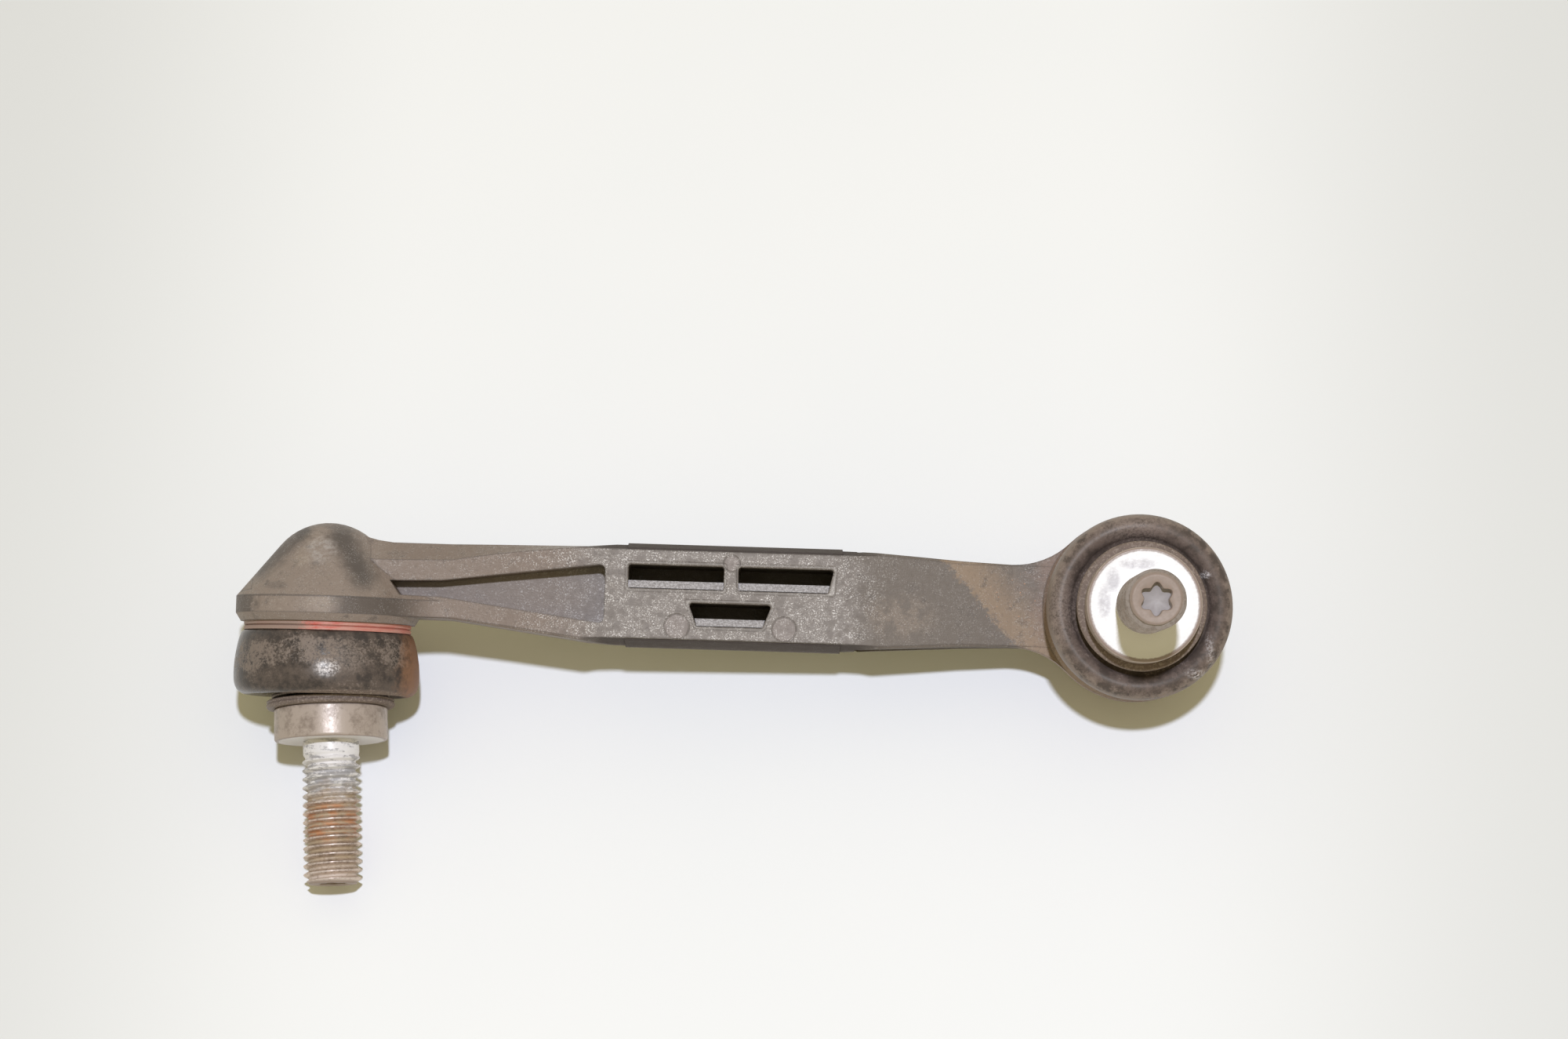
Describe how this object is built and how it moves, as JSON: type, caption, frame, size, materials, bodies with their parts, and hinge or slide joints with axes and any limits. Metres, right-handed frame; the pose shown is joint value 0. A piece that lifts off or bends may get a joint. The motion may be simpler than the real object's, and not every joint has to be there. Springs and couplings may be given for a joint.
{
  "type": "stabilizer link",
  "caption": "Moulded plastic anti-roll bar drop link with a sealed ball joint at each end, the threaded ball studs at right angles to each other.",
  "frame": {"origin": "centre of the left ball joint", "axes": "+X from the left ball's centre to the right one, +Z along the right ball stud towards its threaded end, -Y out of the left housing along its axis"},
  "size_m": [0.1723, 0.0683, 0.0679],
  "materials": {
    "body_plastic": "glass-fibre filled polyamide, warm grey with road dust",
    "shell_plastic": "smooth white bearing plastic",
    "ring_plastic": "salmon red plastic, dusty on one side",
    "boot_rubber": "dark brown-grey rubber with dried dirt",
    "garter_steel": "dull wire",
    "stud_steel": "zinc-coated steel, corroded at the threads"
  },
  "bodies": {
    "link": {"link_body": "body_plastic", "left_bearing_shell": "shell_plastic", "right_bearing_shell": "shell_plastic", "left_closing_ring": "ring_plastic", "right_closing_ring": "ring_plastic"},
    "left_boot_body": {"left_boot": "boot_rubber"},
    "left_neck_body": {"left_garter_ring": "garter_steel"},
    "left_stud_body": {"left_ball_stud": "stud_steel"},
    "right_boot_body": {"right_boot": "boot_rubber"},
    "right_neck_body": {"right_garter_ring": "garter_steel"},
    "right_stud_body": {"right_ball_stud": "stud_steel"}
  },
  "joints": [
    {"name": "left_stud_swing_along", "type": "hinge", "parent": "link", "child": "left_boot_body", "pos_m": [0, 0, 0], "axis": [0, 0, 1], "range_deg": [-20.3, 13.7], "deforming": ["left_boot"]},
    {"name": "left_stud_swing_across", "type": "hinge", "parent": "left_boot_body", "child": "left_neck_body", "pos_m": [0, 0, 0], "axis": [0.9983, 0.0576, 0], "range_deg": [-11.5, 22.5], "deforming": ["left_boot"]},
    {"name": "left_stud_spin", "type": "hinge", "parent": "left_neck_body", "child": "left_stud_body", "pos_m": [0, 0, 0], "axis": [0.0573, -0.9937, 0.0958], "continuous": true},
    {"name": "right_stud_swing_along", "type": "hinge", "parent": "link", "child": "right_boot_body", "pos_m": [0.14, 0, 0], "axis": [0, 1, 0], "range_deg": [-17, 17], "deforming": ["right_boot"]},
    {"name": "right_stud_swing_across", "type": "hinge", "parent": "right_boot_body", "child": "right_neck_body", "pos_m": [0.14, 0, 0], "axis": [1, 0, 0], "range_deg": [-17, 17], "deforming": ["right_boot"]},
    {"name": "right_stud_spin", "type": "hinge", "parent": "right_neck_body", "child": "right_stud_body", "pos_m": [0.14, 0, 0], "axis": [0, 0, 1], "continuous": true}
  ]
}
